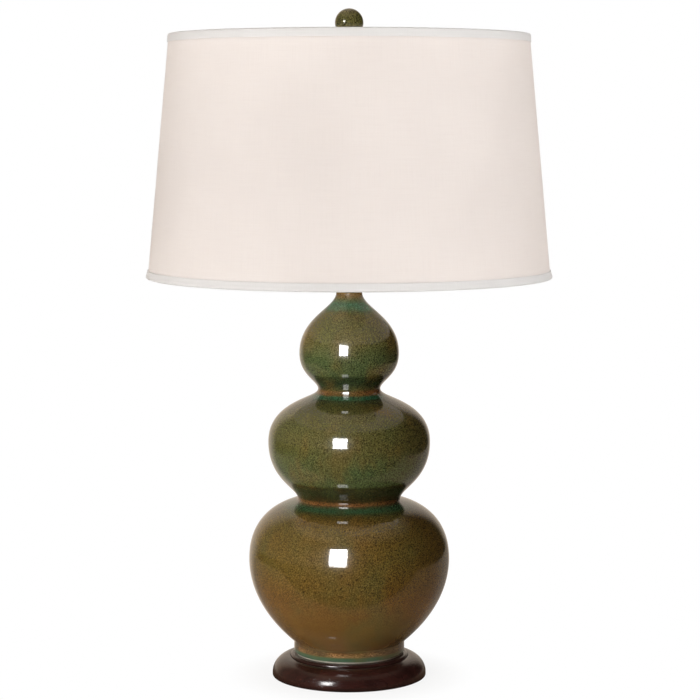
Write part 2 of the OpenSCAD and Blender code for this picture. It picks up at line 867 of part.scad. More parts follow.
// The runs of wire meet end to end, and each joint is closed by a bead a hair wider than the wire
wire_joints = [
    [saddle_w / 2, leg_h],
    [saddle_w / 2 + bend_low * (1 - cos(lean_out)), leg_h + bend_low * sin(lean_out)],
    [shoulder_x, shoulder_z],
    [top_x, harp_h]
];
bead_proud = 0.02;

module harp_half() {
    translate([saddle_w / 2, 0, 0])
        cylinder(d = harp_wire_d, h = leg_h);
    for (p = wire_joints)
        translate([p[0], 0, p[1]])
            sphere(r = harp_wire_d / 2 + bead_proud);
    wire_bend([saddle_w / 2 + bend_low, leg_h], bend_low, 180 - lean_out, 180);
    wire_bend([harp_w / 2 - bend_side, side_z], bend_side, -lean_out, side_over);
    wire_bend([top_x, harp_h - bend_top], bend_top, side_over, 90);
}

module harp_wire() {
    color("#c3a868")
        translate([0, 0, harp_foot_z])
            union() {
                harp_half();
                mirror([1, 0, 0])
                    harp_half();
                translate([-top_x, 0, harp_h])
                    rotate([0, 90, 0])
                        cylinder(d = harp_wire_d, h = 2 * top_x);
            }
}

crown_half = 8;
crown_wide = 9;
stud_neck_r = 2.4;
rivet_t = 1.2;

// The crown straddles the top wire, so that the stud's riveted end has room to turn
module harp_crown() {
    grip_wall = 1.1;
    grip_r = harp_wire_d / 2 + grip_wall;
    leg = 1.4;
    color("#b99a55")
        difference() {
            union() {
                translate([-crown_half, -crown_wide / 2, crown_z])
                    cube([2 * crown_half, crown_wide, crown_t]);
                for (s = [-1, 1])
                    translate([s * (crown_half - leg / 2), 0, 0]) {
                        translate([-leg / 2, -grip_r, harp_top_z])
                            cube([leg, 2 * grip_r, crown_z - harp_top_z + EPS]);
                        translate([-leg / 2, 0, harp_top_z])
                            rotate([0, 90, 0])
                                cylinder(r = grip_r, h = leg);
                    }
            }
            translate([-2 * crown_half, 0, harp_top_z])
                rotate([0, 90, 0])
                    cylinder(r = harp_wire_d / 2 + run, h = 4 * crown_half);
            translate([0, 0, crown_z - EPS])
                cylinder(r = stud_neck_r + run, h = crown_t + 2 * EPS);
        }
}

module harp_stud() {
    rivet_r = 3.6;
    edge = 0.5;
    collar_r = 6;
    tip = 0.8;
    rivet_z = crown_z - run;
    color("#c6a558")
        rotate_extrude()
            polygon([
                [0, rivet_z - rivet_t], [rivet_r - edge, rivet_z - rivet_t],
                [rivet_r, rivet_z - edge], [rivet_r, rivet_z], [stud_neck_r, rivet_z],
                [stud_neck_r, collar_z], [collar_r, collar_z], [collar_r, hub_z], [stud_d / 2, hub_z],
                [stud_d / 2, hub_z + stud_h - tip], [stud_d / 2 - tip, hub_z + stud_h],
                [0, hub_z + stud_h]
            ]);
}

// A sleeve drops over the harp's wire and the saddle's ear together
module locking_sleeve() {
    wire_out = saddle_w / 2 + harp_wire_d / 2;
    middle = (ear_in + wire_out) / 2;
    half = (wire_out - ear_in) / 2;
    bore = norm([half, ear_w / 2]) + loose;
    flare = 0.5;
    flare_h = 1.5;
    tip = 1;
    wide = bore + sleeve_t;
    color("#b9bcc0")
        translate([middle, 0, harp_foot_z])
            rotate_extrude()
                polygon([
                    [bore, 0], [wide + flare, 0], [wide + flare, flare_h], [wide, 2 * flare_h],
                    [wide, sleeve_h - tip], [wide - sleeve_t / 2, sleeve_h], [bore, sleeve_h]
                ]);
}

module sleeve_right() {
    locking_sleeve();
}

module sleeve_left() {
    mirror([1, 0, 0])
        locking_sleeve();
}

// Shade
function shade_r(z) =
    shade_bottom_d / 2 + (shade_top_d - shade_bottom_d) / 2 * (z - shade_bottom_z) / shade_h;
glue = 0.15;           // between the shade's layers, and under its trims
shade_wall = fabric_t + glue + backing_t;
ring_in = shade_wall + fit + ring_wire_d / 2;      // ring wire's middle, inside the outer face
ring_edge = ring_wire_d / 2 + 0.4;                 // and back from the shade's edge
top_ring_z = shade_top_z - ring_edge;
bottom_ring_z = shade_bottom_z + ring_edge;
top_ring_r = shade_r(top_ring_z) - ring_in;
bottom_ring_r = shade_r(bottom_ring_z) - ring_in;

// A conical skin whose outer face lies a given depth inside the shade's outer face
module shade_skin(depth, t) {
    rotate_extrude()
        polygon([
            [shade_r(shade_bottom_z) - depth - t, shade_bottom_z],
            [shade_r(shade_bottom_z) - depth, shade_bottom_z],
            [shade_r(shade_top_z) - depth, shade_top_z],
            [shade_r(shade_top_z) - depth - t, shade_top_z]
        ]);
}

module shade_fabric() {
    color("#efe8e2")
        shade_skin(0, fabric_t);
}

module shade_backing() {
    color("#f6f2ec")
        shade_skin(fabric_t + glue, backing_t);
}

// The folded trim's section, from its outer hem over the edge and the ring wire to its inner hem.
// Each point is [out from the shade's face, back from its edge]. up is 1 at the upper edge and -1
// at the lower one, and roll is how far the fold stands out beyond the hem.
function trim_section(edge_z, up, roll) =
    let (
        hem_out = glue + trim_t,
        hem_in = -(shade_wall + fit),
        short = 2,
        fold_r = ring_edge + glue,
        outer_r = fold_r + trim_t,
        nose = 1,
        round_out = hem_out + roll + nose,
        round_up = nose + hem_out,
        face = [[hem_out, trim_h], [hem_out + roll / 2, trim_h * 0.6], [hem_out + roll, trim_h * 0.3]],
        over = [for (a = [0:15:90]) [round_out * cos(a) - nose, nose - round_up * sin(a)]],
        outer_turn = [for (a = [90:15:180]) [outer_r * cos(a) - ring_in, ring_edge - outer_r * sin(a)]],
        inner_turn = [for (a = [180:-15:90]) [fold_r * cos(a) - ring_in, ring_edge - fold_r * sin(a)]],
        hem = [[hem_in - trim_t, trim_h - short], [hem_in, trim_h - short]],
        back = [[glue, -glue], [glue, trim_h]]
    )
    [
        for (p = concat(face, over, outer_turn, hem, inner_turn, back))
            let (z = edge_z - up * p[1]) [shade_r(z) + p[0], z]
    ];

arm_r = arm_d / 2;
arm_z = hub_z + hub_t / 2;
arm_bend = 6;
weld = 0.4;            // depth of the arm's weld in the ring wire
arm_end_r = top_ring_r - ring_wire_d / 2 - arm_r + weld;

// The inner hem is notched where each arm comes up to the ring
module shade_top_trim() {
    reach = 4;
    depth = trim_h + 1;
    color("#e9e3dd")
        difference() {
            rotate_extrude()
                polygon(trim_section(shade_top_z, 1, top_roll));
            for (i = [0:arm_n - 1])
                rotate([0, 0, 90 + i * 360 / arm_n])
                    translate([arm_end_r - arm_r - reach, -arm_r - loose, shade_top_z - depth])
                        cube([arm_d + reach + loose + weld, arm_d + 2 * loose,
                            depth - ring_edge + ring_wire_d / 2]);
        }
}

module shade_bottom_trim() {
    color("#e9e3dd")
        rotate_extrude()
            polygon(trim_section(shade_bottom_z, -1, bottom_roll));
}

module ring_wire(r, z) {
    translate([0, 0, z])
        rotate_extrude()
            translate([r, 0])
                circle(d = ring_wire_d, $fn = 32);
}

// An arm runs level from the hub, then turns up to the ring it is welded to
module spider_arm() {
    start = hub_d / 2 - arm_r;
    translate([start, 0, arm_z])
        rotate([0, 90, 0])
            cylinder(r = arm_r, h = arm_end_r - arm_bend - start);
    translate([arm_end_r - arm_bend, 0, arm_z + arm_bend])
        rotate([90, 0, 0])
            rotate([0, 0, -90])
                rotate_extrude(angle = 90)
                    translate([arm_bend, 0])
                        circle(r = arm_r);
    translate([arm_end_r, 0, arm_z + arm_bend])
        cylinder(r = arm_r, h = top_ring_z - arm_z - arm_bend);
}

module shade_spider() {
    color("#d9d6ce")
        difference() {
            union() {
                ring_wire(top_ring_r, top_ring_z);
                for (i = [0:arm_n - 1])
                    rotate([0, 0, 90 + i * 360 / arm_n])
                        spider_arm();
                translate([0, 0, hub_z])
                    cylinder(d = hub_d, h = hub_t);
            }
            translate([0, 0, hub_z - EPS])
                cylinder(r = stud_d / 2 + hub_gap, h = hub_t + 2 * EPS);
        }
}

module shade_bottom_ring() {
    color("#d9d6ce")
        ring_wire(bottom_ring_r, bottom_ring_z);
}

// Finial: a turned brass collar, threaded inside, with the ball cemented on its spigot
spigot_r = 4.6;
spigot_h = 7;

module finial_collar() {
    r = finial_base_d / 2;
    bore = stud_d / 2 + thread_gap + fit;
    top = finial_neck_h;
    foot = 1.4;
    ledge = 0.8;
    lip = 0.5;
    lip_h = 1;
    waist = 1.6;
    color("#b8933f")
        translate([0, 0, finial_z])
            rotate_extrude()
                polygon(concat(
                    [[bore, 0], [r, 0], [r, foot]],
                    arc([r - ledge, top / 2], waist, top / 2 - foot - ledge, 270, 90, 12),
                    arc([r - ledge, top - lip_h], lip, lip_h, -90, 90, 8),
                    [[spigot_r, top], [spigot_r, top + spigot_h], [0, top + spigot_h],
                     [0, finial_thread], [bore, finial_thread]]
                ));
}

module finial_ball() {
    seat = finial_z + finial_neck_h;
    color("#4b4a26")
        difference() {
            translate([0, 0, ball_z])
                sphere(d = ball_d);
            translate([0, 0, seat - ball_d])
                cylinder(d = 2 * ball_d, h = ball_d);
            translate([0, 0, seat - EPS])
                cylinder(r = spigot_r + fit, h = spigot_h + fit + EPS);
        }
}

felt_pad();
wood_base();
outlet_bush();
flat_washer();
lock_washer();
hex_nut();
lamp_pipe();
ceramic_body();
vase_cap();
neck_spacer();
harp_saddle();
holder_cap();
set_screw();
holder_shell();
fibre_liner();
switch_body();
screw_shell();
centre_contact();
terminal_screws();
switch_shaft();
switch_knob();
bulb_glass();
bulb_cap();
bulb_insulator();
bulb_contact();
harp_wire();
harp_crown();
sleeve_left();
sleeve_right();
harp_stud();
shade_spider();
shade_bottom_ring();
shade_backing();
shade_fabric();
shade_top_trim();
shade_bottom_trim();
finial_collar();
finial_ball();
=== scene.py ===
import json
import math

import bpy
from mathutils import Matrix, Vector, noise

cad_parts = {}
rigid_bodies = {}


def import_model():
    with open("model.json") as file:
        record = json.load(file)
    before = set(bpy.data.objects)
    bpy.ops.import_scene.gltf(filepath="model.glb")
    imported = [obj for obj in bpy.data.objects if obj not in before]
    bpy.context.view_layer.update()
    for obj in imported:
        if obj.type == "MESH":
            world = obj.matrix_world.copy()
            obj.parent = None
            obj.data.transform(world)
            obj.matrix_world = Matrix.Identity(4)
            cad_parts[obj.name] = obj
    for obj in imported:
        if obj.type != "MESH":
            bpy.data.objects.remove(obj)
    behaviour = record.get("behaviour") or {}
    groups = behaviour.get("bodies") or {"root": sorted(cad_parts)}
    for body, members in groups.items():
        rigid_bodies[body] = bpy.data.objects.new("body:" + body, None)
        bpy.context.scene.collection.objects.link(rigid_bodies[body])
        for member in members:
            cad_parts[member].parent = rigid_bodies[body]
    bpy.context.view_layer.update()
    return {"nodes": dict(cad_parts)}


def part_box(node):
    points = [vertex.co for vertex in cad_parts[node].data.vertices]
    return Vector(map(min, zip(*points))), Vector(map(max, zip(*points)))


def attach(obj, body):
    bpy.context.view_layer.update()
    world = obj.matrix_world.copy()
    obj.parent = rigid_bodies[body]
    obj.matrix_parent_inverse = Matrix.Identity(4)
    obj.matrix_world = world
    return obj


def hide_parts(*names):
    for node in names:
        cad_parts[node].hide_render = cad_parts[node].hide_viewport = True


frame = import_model()
NODES = frame["nodes"]
MM = 0.001

# Camera, at the photograph's distance, height and tilt

IMAGE_PX = 700
FOCAL_PX = 2249
TILT = 0.1017
CAMERA_AT = (0.001, -2.708, 0.6758)
cam_data = bpy.data.cameras.new("camera")
cam_data.sensor_width = 36
cam_data.lens = FOCAL_PX / IMAGE_PX * cam_data.sensor_width
cam_data.clip_end = 60
camera = bpy.data.objects.new("camera", cam_data)
bpy.context.scene.collection.objects.link(camera)
camera.location = CAMERA_AT
camera.rotation_euler = (math.pi / 2 - TILT, 0, 0)
bpy.context.scene.camera = camera
bpy.context.scene.view_settings.view_transform = "Standard"


# Material building

def rgb(r, g, b):
    """A screen colour, 0 to 255 each, as linear values."""
    def lin(c):
        c /= 255
        return c / 12.92 if c <= 0.04045 else ((c + 0.055) / 1.055) ** 2.4
    return (lin(r), lin(g), lin(b), 1)


class Shade:
    """One material's node tree, with a short call for each kind of node."""

    def __init__(self, name, tree=None):
        if tree is None:
            self.mat = bpy.data.materials.new(name)
            self.mat.use_nodes = True
            tree = self.mat.node_tree
        self.tree = tree
        tree.nodes.clear()

    def add(self, kind, **props):
        n = self.tree.nodes.new("ShaderNode" + kind)
        for k, v in props.items():
            setattr(n, k, v)
        return n

    def put(self, socket, value):
        if isinstance(value, bpy.types.NodeSocket):
            self.tree.links.new(value, socket)
        elif value is not None:
            socket.default_value = value

    def place(self):
        """Where a point is on the piece, in metres of its own frame."""
        return self.add("TexCoord").outputs["Object"]

    def xyz(self, vector=None):
        n = self.add("SeparateXYZ")
        self.put(n.inputs[0], vector or self.place())
        return n.outputs

    def join(self, x, y, z):
        n = self.add("CombineXYZ")
        for s, v in zip(n.inputs, (x, y, z)):
            self.put(s, v)
        return n.outputs[0]

    def sum(self, op, a, b=None):
        n = self.add("Math", operation=op)
        self.put(n.inputs[0], a)
        self.put(n.inputs[1], b)
        return n.outputs[0]

    def product(self, a, b):
        return self.sum("MULTIPLY", a, b)

    def span(self, value, a, b, lo=0.0, hi=1.0, smooth=True):
        """lo up to a, hi from b on, and an even passage between."""
        n = self.add("MapRange", interpolation_type="SMOOTHSTEP" if smooth else "LINEAR")
        for k, v in (("Value", value), ("From Min", a), ("From Max", b), ("To Min", lo), ("To Max", hi)):
            self.put(n.inputs[k], v)
        return n.outputs["Result"]

    def scaled(self, sx, sy, sz):
        n = self.add("Mapping")
        self.put(n.inputs["Vector"], self.place())
        n.inputs["Scale"].default_value = (sx, sy, sz)
        return n.outputs[0]

    def noise(self, scale, detail=2.0, rough=0.5, vector=None, warp=0.0):
        n = self.add("TexNoise")
        self.put(n.inputs["Vector"], vector or self.place())
        n.inputs["Scale"].default_value = scale
        n.inputs["Detail"].default_value = detail
        n.inputs["Roughness"].default_value = rough
        n.inputs["Distortion"].default_value = warp
        return n.outputs["Fac"]

    def ramp(self, fac, stops):
        n = self.add("ValToRGB")
        self.put(n.inputs[0], fac)
        e = n.color_ramp.elements
        while len(e) < len(stops):
            e.new(1.0)
        for s, (at, colour) in zip(e, stops):
            s.position = at
            s.color = colour if len(colour) == 4 else (*colour, 1)
        return n.outputs[0]

    def mix(self, fac, a, b, blend="MIX"):
        n = self.add("Mix", data_type="RGBA", blend_type=blend)
        self.put(n.inputs[0], fac)
        self.put(n.inputs[6], a)
        self.put(n.inputs[7], b)
        return n.outputs[2]

    def bump(self, height, depth, strength):
        n = self.add("Bump")
        n.inputs["Strength"].default_value = strength
        n.inputs["Distance"].default_value = depth
        self.put(n.inputs["Height"], height)
        return n.outputs[0]

    def principled(self, **values):
        n = self.add("BsdfPrincipled")
        for k, v in values.items():
            self.put(n.inputs[k.replace("_", " ")], v)
        return n.outputs[0]

    def translucent(self, colour, normal=None):
        n = self.add("BsdfTranslucent")
        self.put(n.inputs["Color"], colour)
        self.put(n.inputs["Normal"], normal)
        return n.outputs[0]

    def blend(self, fac, a, b):
        n = self.add("MixShader")
        self.put(n.inputs[0], fac)
        self.put(n.inputs[1], a)
        self.put(n.inputs[2], b)
        return n.outputs[0]

    def end(self, shader):
        self.put(self.add("OutputMaterial").inputs["Surface"], shader)
        return self.mat


# Glaze: olive over the lobes, rust in the waists and at the foot, with teal pooled below each rust band.
# The stops are heights in mm with the colour there.

OLIVE_TOP = rgb(88, 82, 44)
OLIVE_MID = rgb(84, 80, 42)
OLIVE_LOW = rgb(95, 77, 34)
AMBER_LOW = rgb(94, 67, 26)
GREEN_UNDER = rgb(70, 80, 48)
RUST = rgb(104, 69, 36)
TEAL = rgb(40, 86, 62)
DULL_TEAL = rgb(54, 86, 57)
PALE_TEAL = rgb(66, 110, 86)
BARE = rgb(216, 208, 192)
CLOUD_GREEN = rgb(78, 96, 54)
CLOUD_AMBER = rgb(130, 90, 38)
THIN_BROWN = rgb(88, 72, 46)
GAIN = 1.3
DARK_SPECKS = 1040
LIGHT_SPECKS = 920
SPECK_DEEP = (0.12, 0.13, 0.1, 1)
SPECK_PALE = (2.1, 2.0, 2.2, 1)

# The darkest stops, just under the middle lobe (223 to 242.5 mm) and under the upper lobe (360 to 371.5
# mm), are partly painted shade under each lobe's overhang.
LOWER_STOPS = [
    (26.5, BARE), (29.2, BARE), (30.1, rgb(64, 86, 68)), (34, rgb(54, 82, 60)), (35.4, rgb(92, 86, 54)),
    (36.2, rgb(142, 107, 68)), (38.4, rgb(140, 102, 62)), (40.2, rgb(120, 86, 50)), (41.6, rgb(72, 54, 30)),
    (43, rgb(88, 67, 40)), (46, rgb(104, 77, 46)), (62, rgb(101, 75, 42)), (76, rgb(96, 69, 30)),
    (110, AMBER_LOW), (150, OLIVE_LOW), (196, OLIVE_LOW), (204.5, rgb(88, 69, 28)),
    (208.5, rgb(80, 68, 30)), (211, rgb(66, 68, 36)), (213.4, DULL_TEAL), (216.2, DULL_TEAL),
    (218.2, RUST), (220.6, RUST), (223, rgb(58, 44, 20)), (230, rgb(47, 42, 19)),
]
UPPER_STOPS = [
    (230, rgb(47, 42, 19)), (242.5, rgb(48, 44, 21)), (244.8, GREEN_UNDER), (266, GREEN_UNDER),
    (290, OLIVE_MID), (325, OLIVE_MID), (334, rgb(72, 68, 33)), (339.5, rgb(64, 63, 32)),
    (342.5, rgb(52, 60, 38)), (344.3, TEAL), (346.8, TEAL), (348.5, RUST), (352.2, RUST),
    (354.4, rgb(68, 58, 30)), (360, rgb(42, 43, 24)), (365, rgb(29, 33, 18)), (371.5, rgb(36, 44, 27)),
    (373.5, rgb(68, 79, 48)), (392, rgb(72, 82, 50)), (412, OLIVE_TOP), (444, OLIVE_TOP),
    (447.5, rgb(76, 84, 50)), (451, PALE_TEAL), (457, PALE_TEAL), (460.5, rgb(84, 98, 64)),
    (463.5, rgb(104, 94, 54)), (466, rgb(118, 90, 48)),
]


def bands(s, level, stops):
    """Colours by height, brightened by GAIN. level is in mm."""
    lo, hi = stops[0][0], stops[-1][0]
    lit = [((h - lo) / (hi - lo), tuple(min(1.0, GAIN * v) for v in c[:3])) for h, c in stops]
    return s.ramp(s.span(level, lo, hi, smooth=False), lit)


def glaze(name, banded=True):
    """Clouded and speckled glaze under a glossy skin. The finial's has no bands."""
    s = Shade(name)
    x, _, z = s.xyz()
    mm = s.product(z, 1000)
    drift = s.product(s.sum("SUBTRACT", s.noise(38, 2), 0.5), s.span(z, 0.04, 0.07, 0.8, 2.4))
    level = s.sum("ADD", mm, drift)
    if banded:
        above = s.sum("GREATER_THAN", level, UPPER_STOPS[0][0])
        base = s.mix(above, bands(s, level, LOWER_STOPS), bands(s, level, UPPER_STOPS))
    else:
        base = s.mix(s.noise(60, 2), rgb(105, 104, 64), rgb(96, 94, 50))
    green = s.span(s.noise(13, 3, 0.55, warp=0.4), 0.42, 0.66)
    base = s.mix(s.product(green, 0.30), base, CLOUD_GREEN)
    amber = s.span(s.noise(21, 3, 0.5, vector=s.scaled(1.3, 1.3, 0.7)), 0.5, 0.72)
    base = s.mix(s.product(amber, 0.28), base, CLOUD_AMBER)
    fade = 0.9
    if banded:
        thin = s.product(s.span(s.noise(26, 2), 0.44, 0.62, 0.0, 0.8), s.span(z, 0.044, 0.042))
        base = s.mix(s.product(thin, s.span(z, 0.034, 0.036)), base, THIN_BROWN)
        ring = s.product(s.span(mm, 35.4, 36.4), s.span(mm, 42, 40.6))
        # The specks are weaker below 130 mm and towards the left (negative x). This is painted reflection:
        # it stands in for the pale veil the glaze reflects on the lower lobe's underside and on its left.
        # The ring keeps the specks in the foot's rust band.
        fade = s.sum("MAXIMUM", s.span(z, 0.06, 0.13, 0.16, 1.0), ring)
        fade = s.product(fade, s.span(x, -0.02, 0.08, 0.84, 1.0))
    dark = s.product(fade, s.span(s.noise(DARK_SPECKS, 1.0, 0.5), 0.42, 0.52, 1.0, 0.0))
    specks = s.noise(LIGHT_SPECKS, 1.0, 0.5, vector=s.scaled(1, 1, 1.15))
    light = s.product(fade, s.span(specks, 0.53, 0.63, 0.0, 0.8))
    deep = s.mix(1.0, base, SPECK_DEEP, "MULTIPLY")
    pale = s.mix(1.0, base, SPECK_PALE, "MULTIPLY")
    base = s.mix(dark, s.mix(light, base, pale), deep)
    rough = s.span(s.noise(120, 2), 0.3, 0.7, 0.035, 0.075)
    if banded:
        rough = s.sum("MAXIMUM", rough, s.span(mm, 29.4, 30.6, 0.75, 0.0))
    return s.end(s.principled(
        Base_Color=base, Roughness=rough, IOR=1.62, Normal=s.bump(s.noise(70, 2), 0.0006, 0.1),
        Coat_Weight=0.16, Coat_Roughness=0.27))


# The other materials

def stained_wood(name):
    """Turned wood, stained dark, with its grain running across the base, and darker towards the floor."""
    s = Shade(name)
    wavy = s.noise(9, 4, 0.55, vector=s.scaled(1.0, 9.0, 9.0), warp=0.6)
    fine = s.noise(55, 5, 0.7, vector=s.scaled(0.6, 9.0, 9.0))
    pores = s.span(s.noise(160, 2, 0.6, vector=s.scaled(0.35, 6.0, 6.0)), 0.60, 0.72)
    colour = s.ramp(wavy, [(0.25, rgb(32, 15, 13)), (0.5, rgb(47, 24, 21)), (0.75, rgb(61, 32, 27))])
    colour = s.mix(s.product(fine, 0.45), colour, rgb(36, 18, 16))
    colour = s.mix(s.product(pores, 0.5), colour, rgb(20, 10, 9))
    z = s.xyz()[2]
    colour = s.mix(s.span(z, 0.0005, 0.006, 0.55, 0.0), colour, rgb(16, 9, 9))
    rough = s.span(fine, 0.3, 0.7, 0.13, 0.2)
    return s.end(s.principled(
        Base_Color=colour, Roughness=rough, IOR=1.45,
        Normal=s.bump(s.sum("ADD", fine, s.product(pores, -0.8)), 0.00012, 0.5)))


def metal(name, colour, dull, rough=(0.18, 0.34), grain=(1, 1, 14)):
    """Bare metal with turning marks, slightly dulled in patches."""
    s = Shade(name)
    marks = s.noise(240, 3, 0.6, vector=s.scaled(*grain))
    cloud = s.span(s.noise(60, 3), 0.42, 0.7)
    base = s.mix(s.product(cloud, 0.6), colour, dull)
    return s.end(s.principled(
        Base_Color=base, Metallic=1.0, Roughness=s.span(marks, 0.3, 0.7, *rough),
        Normal=s.bump(marks, 0.00004, 0.4)))


def moulded(name, colour, worn, rough=(0.3, 0.45)):
    """Plastic, enamel or fibre with a fine texture and paler wear in spots."""
    s = Shade(name)
    fine = s.noise(900, 2, 0.6)
    cloud = s.span(s.noise(90, 3), 0.45, 0.75)
    base = s.mix(s.product(cloud, 0.5), colour, worn)
    return s.end(s.principled(
        Base_Color=base, Roughness=s.span(fine, 0.3, 0.7, *rough), Normal=s.bump(fine, 0.00005, 0.4)))


SHADE_MEAN_R = 0.23
THREAD = 0.00075
TAPE_THREAD = 0.0011
LINEN_CONTRAST = 0.3


def linen(name, colour, dark, through, pitch=THREAD):
    """Fine plain weave with slubs, which lets part of the light through."""
    s = Shade(name)
    x, y, z = s.xyz()
    way = s.product(s.sum("ARCTAN2", y, x), SHADE_MEAN_R)
    half_turn = math.pi / pitch
    warp = s.sum("ABSOLUTE", s.sum("SINE", s.product(way, half_turn)))
    weft = s.sum("ABSOLUTE", s.sum("SINE", s.product(z, half_turn)))
    weave = s.sum("ADD", s.product(warp, 0.5), s.product(weft, 0.5))
    across = s.noise(1, 4, 0.6, vector=s.join(s.product(way, 22), 0.0, s.product(z, 900)))
    upright = s.noise(1, 4, 0.6, vector=s.join(s.product(way, 900), 0.0, s.product(z, 22)))
    slub = s.product(s.sum("ADD", across, upright), 0.5)
    base = s.mix(s.span(slub, 0.42, 0.66, 0.0, LINEN_CONTRAST), colour, dark)
    base = s.mix(s.span(weave, 0.1, 0.7, LINEN_CONTRAST / 2, 0.0), base, dark)
    base = s.mix(s.span(s.noise(9, 2), 0.35, 0.7, 0.0, 0.22), base, dark)
    normal = s.bump(s.sum("ADD", weave, s.product(slub, 1.5)), 0.00008, 0.35)
    front = s.principled(
        Base_Color=base, Roughness=0.92, Specular_IOR_Level=0.12, Sheen_Weight=0.15, Sheen_Roughness=0.5,
        Normal=normal)
    return s.end(s.blend(through, front, s.translucent(base, normal)))


def styrene(name):
    """The shade's lining, which lets most of the light through."""
    s = Shade(name)
    cloud = s.noise(14, 3)
    base = s.mix(cloud, rgb(247, 245, 240), rgb(238, 234, 226))
    front = s.principled(
        Base_Color=base, Roughness=s.span(cloud, 0.3, 0.7, 0.38, 0.5),
        Normal=s.bump(s.noise(500, 2), 0.00003, 0.3))
    return s.end(s.blend(0.75, front, s.translucent(base)))


def felt(name):
    """Green felt with paler lint."""
    s = Shade(name)
    fuzz = s.noise(700, 4, 0.7, warp=1.2)
    lint = s.span(s.noise(260, 3, 0.6, warp=2.0), 0.6, 0.7)
    base = s.ramp(fuzz, [(0.3, rgb(16, 34, 24)), (0.7, rgb(38, 66, 50))])
    base = s.mix(s.product(lint, 0.4), base, rgb(72, 96, 80))
    return s.end(s.principled(
        Base_Color=base, Roughness=0.96, Specular_IOR_Level=0.1, Sheen_Weight=0.4, Sheen_Roughness=0.6,
        Normal=s.bump(fuzz, 0.0005, 0.8)))


def frosted(name):
    """The bulb's white glass."""
    s = Shade(name)
    base = s.mix(s.noise(30, 2), rgb(246, 244, 238), rgb(236, 232, 224))
    front = s.principled(
        Base_Color=base, Roughness=0.12, IOR=1.5, Normal=s.bump(s.noise(900, 2), 0.00002, 0.3))
    return s.end(s.blend(0.45, front, s.translucent(base)))


brass = metal("brass", rgb(214, 178, 104), rgb(164, 128, 70))
harp_brass = metal("harp_brass", rgb(206, 174, 108), rgb(150, 122, 74), (0.22, 0.4), (1, 1, 3))
steel = metal("zinc_steel", rgb(190, 191, 194), rgb(148, 148, 150), (0.3, 0.5))
nickel = metal("nickel", rgb(214, 214, 214), rgb(176, 176, 174), (0.12, 0.28))
pipe = metal("brass_pipe", rgb(192, 176, 132), rgb(150, 138, 104), (0.26, 0.44), (1, 1, 30))
black = moulded("black_plastic", rgb(24, 22, 21), rgb(46, 43, 41))
bakelite = moulded("bakelite", rgb(38, 32, 28), rgb(58, 48, 40), (0.2, 0.36))
enamel = moulded("shade_wire", rgb(232, 230, 222), rgb(212, 208, 196), (0.28, 0.42))
card = moulded("fibre", rgb(126, 108, 84), rgb(96, 80, 60), (0.7, 0.9))
glass_black = moulded("bulb_black", rgb(20, 20, 20), rgb(36, 36, 38), (0.05, 0.12))
wood = stained_wood("mahogany")
white_liner = styrene("shade_liner")
cloth = linen("shade_linen", rgb(243.6, 240.6, 240), rgb(232.6, 228.6, 228), 0.6)
tape = linen("shade_tape", rgb(235, 234.7, 235), rgb(219, 218.7, 219), 0.35, TAPE_THREAD)
green_felt = felt("felt")
bulb_white = frosted("bulb_white")

MATERIALS = {
    "wood_base": wood, "outlet_bush": black, "flat_washer": steel, "lock_washer": steel, "hex_nut": brass,
    "lamp_pipe": pipe, "ceramic_body": glaze("glaze"), "vase_cap": brass, "neck_spacer": brass,
    "harp_saddle": harp_brass, "holder_cap": brass, "set_screw": steel, "holder_shell": brass,
    "fibre_liner": card, "switch_body": bakelite, "screw_shell": nickel, "centre_contact": brass,
    "terminal_screws": brass, "switch_shaft": brass, "switch_knob": black, "bulb_glass": bulb_white,
    "bulb_cap": nickel, "bulb_insulator": glass_black, "bulb_contact": nickel, "harp_wire": harp_brass,
    "harp_crown": harp_brass, "sleeve_left": nickel, "sleeve_right": nickel, "harp_stud": brass,
    "shade_spider": enamel, "shade_bottom_ring": enamel, "shade_backing": white_liner,
    "shade_fabric": cloth, "shade_top_trim": tape, "shade_bottom_trim": tape, "finial_collar": brass,
    "finial_ball": glaze("finial_glaze", banded=False), "felt_pad": green_felt,
}
for name, obj in NODES.items():
    obj.data.materials.clear()
    obj.data.materials.append(MATERIALS[name])


# Soft pieces of the shade and the base, each in the room of its CAD solid

def make(name, verts, faces, material, body, slot, *nodes):
    """A visible piece that rides with a body and stands for CAD nodes."""
    mesh = bpy.data.meshes.new(name)
    mesh.from_pydata(verts, [], faces)
    mesh.update()
    mesh.materials.append(material)
    for p in mesh.polygons:
        p.use_smooth = True
    obj = bpy.data.objects.new(name, mesh)
    bpy.context.scene.collection.objects.link(obj)
    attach(obj, body)
    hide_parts(*nodes)
    return obj


def revolve(section, steps, shift=None, skip=None):
    """A closed section of (radius, height) turned about Z. shift(i, angle, r, z) moves its points."""
    verts, faces = [], []
    n = len(section)
    for k in range(steps):
        a = 2 * math.pi * k / steps
        for i, (r, z) in enumerate(section):
            if shift:
                r, z = shift(i, a, r, z)
            verts.append((r * math.cos(a), r * math.sin(a), z))
    for k in range(steps):
        for i in range(n):
            if skip and skip(i, 2 * math.pi * (k + 0.5) / steps):
                continue
            j, m = (i + 1) % n, (k + 1) % steps
            faces.append((k * n + i, m * n + i, m * n + j, k * n + j))
    return verts, faces


lo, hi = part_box("shade_fabric")
SHADE_LOW, SHADE_HIGH = lo.z, hi.z
LOW_R = hi.x
TAPER = 27 * MM
TOP_R = LOW_R - TAPER
STEPS = 480
FABRIC_T = 0.5 * MM
BACKING_AND_GLUE = 0.95 * MM
WALL = FABRIC_T + BACKING_AND_GLUE
REAR = math.pi / 2


def shade_r(z):
    """The fabric's outer radius at a height."""
    return LOW_R + (TOP_R - LOW_R) * (z - SHADE_LOW) / (SHADE_HIGH - SHADE_LOW)


def turned(a, b):
    """The angle from b to a, between half a turn back and half a turn on."""
    return (a - b + math.pi) % (2 * math.pi) - math.pi


def smooth(x, a, b):
    t = max(0.0, min(1.0, (x - a) / (b - a)))
    return t * t * (3 - 2 * t)


